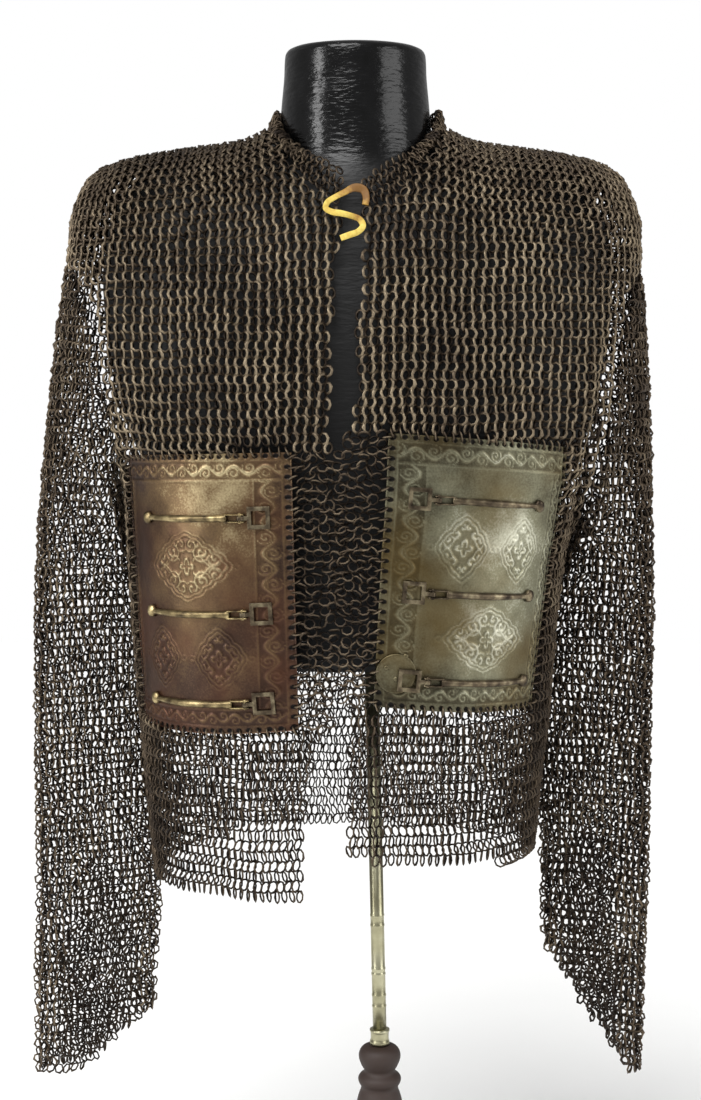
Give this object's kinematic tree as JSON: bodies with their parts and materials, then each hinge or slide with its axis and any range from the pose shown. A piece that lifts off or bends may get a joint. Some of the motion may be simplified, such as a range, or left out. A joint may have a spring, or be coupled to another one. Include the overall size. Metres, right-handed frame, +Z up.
{
  "type": "plate and mail armour coat on a dress form",
  "caption": "Open-fronted long-sleeved coat of riveted mail with curved belly plates, clasps and a tied thong, on a limbless dress form with a turned stand.",
  "frame": {"origin": "middle of the whole object on the surface that the foot stands on", "axes": "+Z up, the coat's opening faces -Y, +X to the wearer's left"},
  "size_m": [0.5561, 0.32, 1.1202],
  "materials": {
    "mail": "riveted iron rings, dry brown rust worn bright on top",
    "russet_plate": "russeted steel with raised scrolling ornament",
    "grey_plate": "grey steel with a yellow-brown patina and raised scrolling ornament",
    "clasp_metal": "worn brassy iron, satin",
    "thong": "undyed yellow leather",
    "lacquer": "black lacquer over fine ribs",
    "nickel": "aged nickel plate",
    "dark_wood": "polished dark wood"
  },
  "bodies": {
    "coat": {"front_right": "mail", "front_left": "mail", "back": "mail", "sleeve_right": "mail", "sleeve_left": "mail", "collar": "mail", "plate_right": "russet_plate", "plate_left": "grey_plate", "clasp_bar_right_1": "clasp_metal", "clasp_bar_right_2": "clasp_metal", "clasp_bar_right_3": "clasp_metal", "clasp_bar_left_1": "clasp_metal", "clasp_bar_left_2": "clasp_metal", "clasp_bar_left_3": "clasp_metal", "patch": "grey_plate", "thong": "thong", "dress_form": "lacquer", "pole": "nickel", "ferrule": "nickel", "stand_column": "dark_wood", "stand_foot": "dark_wood"},
    "buckle_right_1": {"clasp_frame_right_1": "clasp_metal"},
    "buckle_right_2": {"clasp_frame_right_2": "clasp_metal"},
    "buckle_right_3": {"clasp_frame_right_3": "clasp_metal"},
    "buckle_left_1": {"clasp_frame_left_1": "clasp_metal"},
    "buckle_left_2": {"clasp_frame_left_2": "clasp_metal"},
    "buckle_left_3": {"clasp_frame_left_3": "clasp_metal"}
  },
  "joints": [
    {"name": "right_1_swing", "type": "hinge", "parent": "coat", "child": "buckle_right_1", "pos_m": [-0.08231, -0.12404, 0.72552], "axis": [0.0392, -0.0038, -0.9992], "range_deg": [0, 150]},
    {"name": "right_2_swing", "type": "hinge", "parent": "coat", "child": "buckle_right_2", "pos_m": [-0.08052, -0.1236, 0.64577], "axis": [0.065, 0.023, -0.9976], "range_deg": [0, 150]},
    {"name": "right_3_swing", "type": "hinge", "parent": "coat", "child": "buckle_right_3", "pos_m": [-0.07881, -0.12166, 0.57044], "axis": [0.0835, 0.0138, -0.9964], "range_deg": [0, 150]},
    {"name": "left_1_swing", "type": "hinge", "parent": "coat", "child": "buckle_left_1", "pos_m": [0.08099, -0.12703, 0.74076], "axis": [0.0756, -0.0157, 0.997], "range_deg": [0, 150]},
    {"name": "left_2_swing", "type": "hinge", "parent": "coat", "child": "buckle_left_2", "pos_m": [0.07616, -0.12633, 0.66322], "axis": [0.0881, -0.0137, 0.996], "range_deg": [0, 150]},
    {"name": "left_3_swing", "type": "hinge", "parent": "coat", "child": "buckle_left_3", "pos_m": [0.0724, -0.12467, 0.58964], "axis": [0.1021, -0.0129, 0.9947], "range_deg": [0, 150]}
  ]
}
